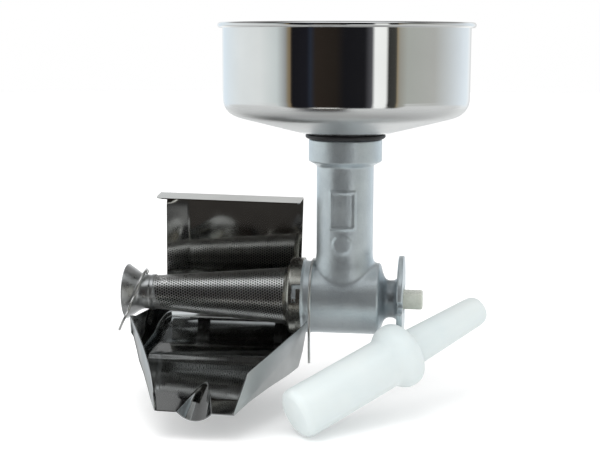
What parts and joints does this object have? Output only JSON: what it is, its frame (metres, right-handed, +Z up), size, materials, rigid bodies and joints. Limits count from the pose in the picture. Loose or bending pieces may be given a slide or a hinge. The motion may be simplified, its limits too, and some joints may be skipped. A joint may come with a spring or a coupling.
{
  "type": "food mill",
  "caption": "Motor-driven food mill head: cast barrel and throat, polished round hopper, perforated filter cone with auger, drip tray with splash guard, wire latches and a pestle.",
  "frame": {"origin": "centre of the drive flange's outer face, on the barrel's axis", "axes": "+X out of the flange towards the motor along the barrel's axis, +Y to the back (splash guard side), +Z up along the throat"},
  "size_m": [0.3224, 0.2416, 0.3311],
  "materials": {
    "cast_body": "silver-grey metallic paint on a rough casting",
    "gasket": "satin",
    "bronze": "plain bronze",
    "steel": "stainless, satin",
    "hopper": "stainless, mirror polish",
    "nylon": "black food-grade plastic",
    "drive_end": "off-white, smooth",
    "filter_sheet": "stainless, perforated",
    "filter_band": "stainless, polished",
    "tray_sheet": "stainless, polished",
    "guard_sheet": "stainless, polished",
    "wire": "spring wire, bright",
    "pestle": "white, slightly translucent"
  },
  "bodies": {
    "mill": {"body_casting": "cast_body", "throat_gasket": "gasket", "shaft_bush": "bronze", "shaft_seal": "gasket", "bayonet_pins": "steel"},
    "hopper": {"hopper_bowl": "hopper", "hopper_neck": "steel"},
    "auger": {"auger_screw": "nylon", "drive_shaft": "drive_end", "cross_pin": "steel", "thrust_washer": "bronze", "thrust_spring": "steel"},
    "filter": {"filter_cone": "filter_sheet", "filter_base_band": "filter_band", "filter_horn": "filter_band"},
    "tray": {"drip_tray": "tray_sheet", "tray_saddle_left": "tray_sheet", "tray_saddle_right": "tray_sheet", "latch_ears": "steel", "guard_clips": "steel", "tray_rivets": "steel"},
    "guard": {"splash_guard": "guard_sheet"},
    "left_latch": {"left_wire_latch": "wire"},
    "right_latch": {"right_wire_latch": "wire"},
    "pusher": {"pestle": "pestle"}
  },
  "joints": [
    {"name": "hopper_lift", "type": "slide", "parent": "mill", "child": "hopper", "axis": [0, 0, 1], "range_m": [0, 0.08]},
    {"name": "auger_spin", "type": "hinge", "parent": "mill", "child": "auger", "pos_m": [0, 0, 0], "axis": [1, 0, 0], "continuous": true},
    {"name": "filter_twist", "type": "hinge", "parent": "mill", "child": "filter", "pos_m": [0, 0, 0], "axis": [1, 0, 0], "range_deg": [0, 20]},
    {"name": "tray_swivel", "type": "hinge", "parent": "mill", "child": "tray", "pos_m": [0, 0, 0], "axis": [1, 0, 0], "range_deg": [-10, 10]},
    {"name": "guard_lift", "type": "slide", "parent": "tray", "child": "guard", "axis": [0, 0, 1], "range_m": [0, 0.05]},
    {"name": "left_latch_open", "type": "hinge", "parent": "tray", "child": "left_latch", "pos_m": [-0.2356, 0.026, -0.004], "axis": [-1, 0, 0], "range_deg": [0, 100]},
    {"name": "right_latch_open", "type": "hinge", "parent": "tray", "child": "right_latch", "pos_m": [-0.0826, 0.037, -0.004], "axis": [-1, 0, 0], "range_deg": [0, 100]},
    {"name": "pestle_lift", "type": "slide", "parent": "mill", "child": "pusher", "axis": [0, -0.766, 0.6428], "range_m": [0, 0.2]}
  ]
}
